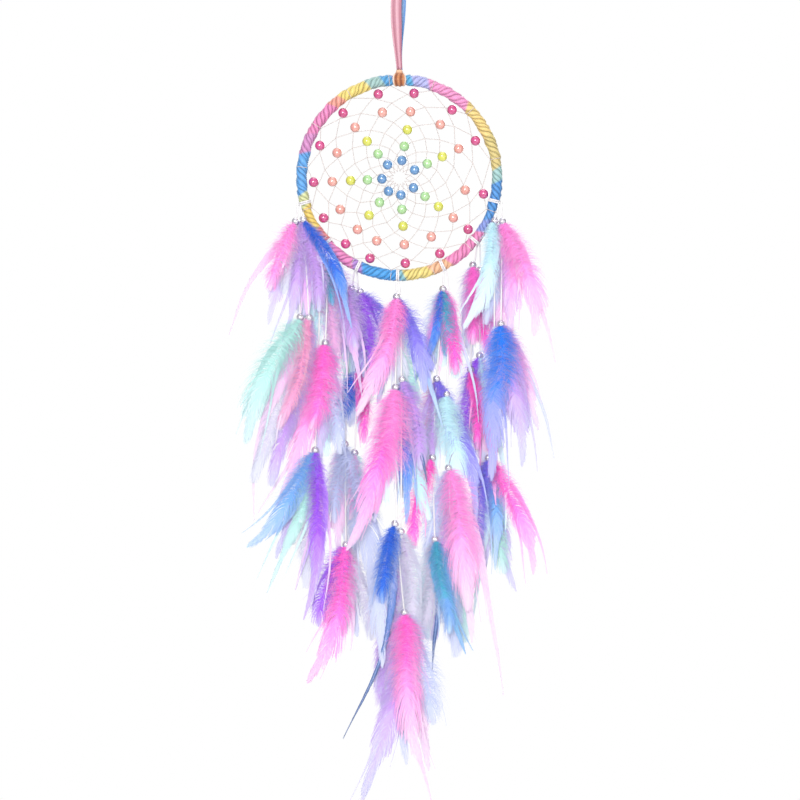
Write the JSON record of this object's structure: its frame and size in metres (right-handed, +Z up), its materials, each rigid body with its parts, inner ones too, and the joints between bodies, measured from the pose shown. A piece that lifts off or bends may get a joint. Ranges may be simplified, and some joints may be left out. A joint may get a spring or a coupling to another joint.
{
  "type": "dream catcher",
  "caption": "Hanging dream catcher: a ribbon-wrapped hoop with a beaded thread web, on a ribbon loop, with feather and pearl strands on cords below",
  "frame": {"origin": "on the axis of the hook that fills the bight of the hanging ribbon loop, in the middle of the ribbon's width at the hook", "axes": "+Z up, +X to the right seen from the front along the hook's axis, and the front faces -Y"},
  "size_m": [0.2554, 0.0188, 0.6417],
  "materials": {
    "ribbon_pink": "satin",
    "ribbon_copper": "satin",
    "wire_steel": "satin",
    "wrap_satin": "satin",
    "thread_beige": "matte",
    "bead_pink": "gloss",
    "bead_salmon": "gloss",
    "bead_yellow": "gloss",
    "bead_green": "gloss",
    "bead_blue": "gloss",
    "cord_white": "matte",
    "pearl": "gloss",
    "feather_pink": "matte",
    "feather_hot_pink": "matte",
    "feather_lilac": "matte",
    "feather_purple": "matte",
    "feather_blue": "matte",
    "feather_mint": "matte"
  },
  "bodies": {
    "hanger": {"hanger_ribbon": "ribbon_pink"},
    "knot": {"hanger_knot": "ribbon_copper"},
    "hoop": {"hoop_core": "wire_steel", "hoop_wrap": "wrap_satin", "web_thread": "thread_beige", "web_beads_pink": "bead_pink", "web_beads_salmon": "bead_salmon", "web_beads_yellow": "bead_yellow", "web_beads_green": "bead_green", "web_beads_blue": "bead_blue", "cord_hitches": "cord_white"},
    "strand_1": {"strand_1_cord_a": "cord_white", "strand_1_cord_b": "cord_white", "strand_1_pearls": "pearl", "strand_1_feathers_1": "feather_pink", "strand_1_feathers_2": "feather_mint"},
    "strand_2": {"strand_2_cord_a": "cord_white", "strand_2_cord_b": "cord_white", "strand_2_pearls": "pearl", "strand_2_feathers_1": "feather_lilac", "strand_2_feathers_2": "feather_hot_pink", "strand_2_feathers_3": "feather_blue"},
    "strand_3": {"strand_3_cord_a": "cord_white", "strand_3_cord_b": "cord_white", "strand_3_pearls": "pearl", "strand_3_feathers_1": "feather_purple", "strand_3_feathers_2": "feather_blue", "strand_3_feathers_3": "feather_mint", "strand_3_feathers_4": "feather_hot_pink"},
    "strand_4": {"strand_4_cord_a": "cord_white", "strand_4_cord_b": "cord_white", "strand_4_pearls": "pearl", "strand_4_feathers_1": "feather_hot_pink", "strand_4_feathers_2": "feather_hot_pink", "strand_4_feathers_3": "feather_blue", "strand_4_feathers_4": "feather_pink"},
    "strand_5": {"strand_5_cord_a": "cord_white", "strand_5_cord_b": "cord_white", "strand_5_pearls": "pearl", "strand_5_feathers_1": "feather_blue", "strand_5_feathers_2": "feather_mint", "strand_5_feathers_3": "feather_lilac", "strand_5_feathers_4": "feather_mint"},
    "strand_6": {"strand_6_cord_a": "cord_white", "strand_6_cord_b": "cord_white", "strand_6_pearls": "pearl", "strand_6_feathers_1": "feather_hot_pink", "strand_6_feathers_2": "feather_purple", "strand_6_feathers_3": "feather_pink"},
    "strand_7": {"strand_7_cord_a": "cord_white", "strand_7_cord_b": "cord_white", "strand_7_pearls": "pearl", "strand_7_feathers_1": "feather_pink", "strand_7_feathers_2": "feather_blue"}
  },
  "joints": [
    {"name": "hoop_twist", "type": "hinge", "parent": "hanger", "child": "knot", "pos_m": [0, 0, -0.066], "axis": [0, 0, 1], "range_deg": [-90, 90]},
    {"name": "hoop_tilt", "type": "hinge", "parent": "knot", "child": "hoop", "pos_m": [0, 0, -0.07375], "axis": [1, 0, 0], "range_deg": [-20, 20]},
    {"name": "strand_1_swing", "type": "hinge", "parent": "hoop", "child": "strand_1", "pos_m": [-0.07921, 0, -0.17122], "axis": [0, 1, 0], "range_deg": [-8, 8]},
    {"name": "strand_2_swing", "type": "hinge", "parent": "hoop", "child": "strand_2", "pos_m": [-0.06094, 0, -0.20487], "axis": [0, 1, 0], "range_deg": [-8, 8]},
    {"name": "strand_3_swing", "type": "hinge", "parent": "hoop", "child": "strand_3", "pos_m": [-0.03465, 0, -0.22432], "axis": [0, 1, 0], "range_deg": [-8, 8]},
    {"name": "strand_4_swing", "type": "hinge", "parent": "hoop", "child": "strand_4", "pos_m": [-0.00143, 0, -0.23199], "axis": [0, 1, 0], "range_deg": [-8, 8]},
    {"name": "strand_5_swing", "type": "hinge", "parent": "hoop", "child": "strand_5", "pos_m": [0.03595, 0, -0.2237], "axis": [0, 1, 0], "range_deg": [-8, 8]},
    {"name": "strand_6_swing", "type": "hinge", "parent": "hoop", "child": "strand_6", "pos_m": [0.06282, 0, -0.20271], "axis": [0, 1, 0], "range_deg": [-8, 8]},
    {"name": "strand_7_swing", "type": "hinge", "parent": "hoop", "child": "strand_7", "pos_m": [0.07956, 0, -0.16984], "axis": [0, 1, 0], "range_deg": [-8, 8]}
  ]
}
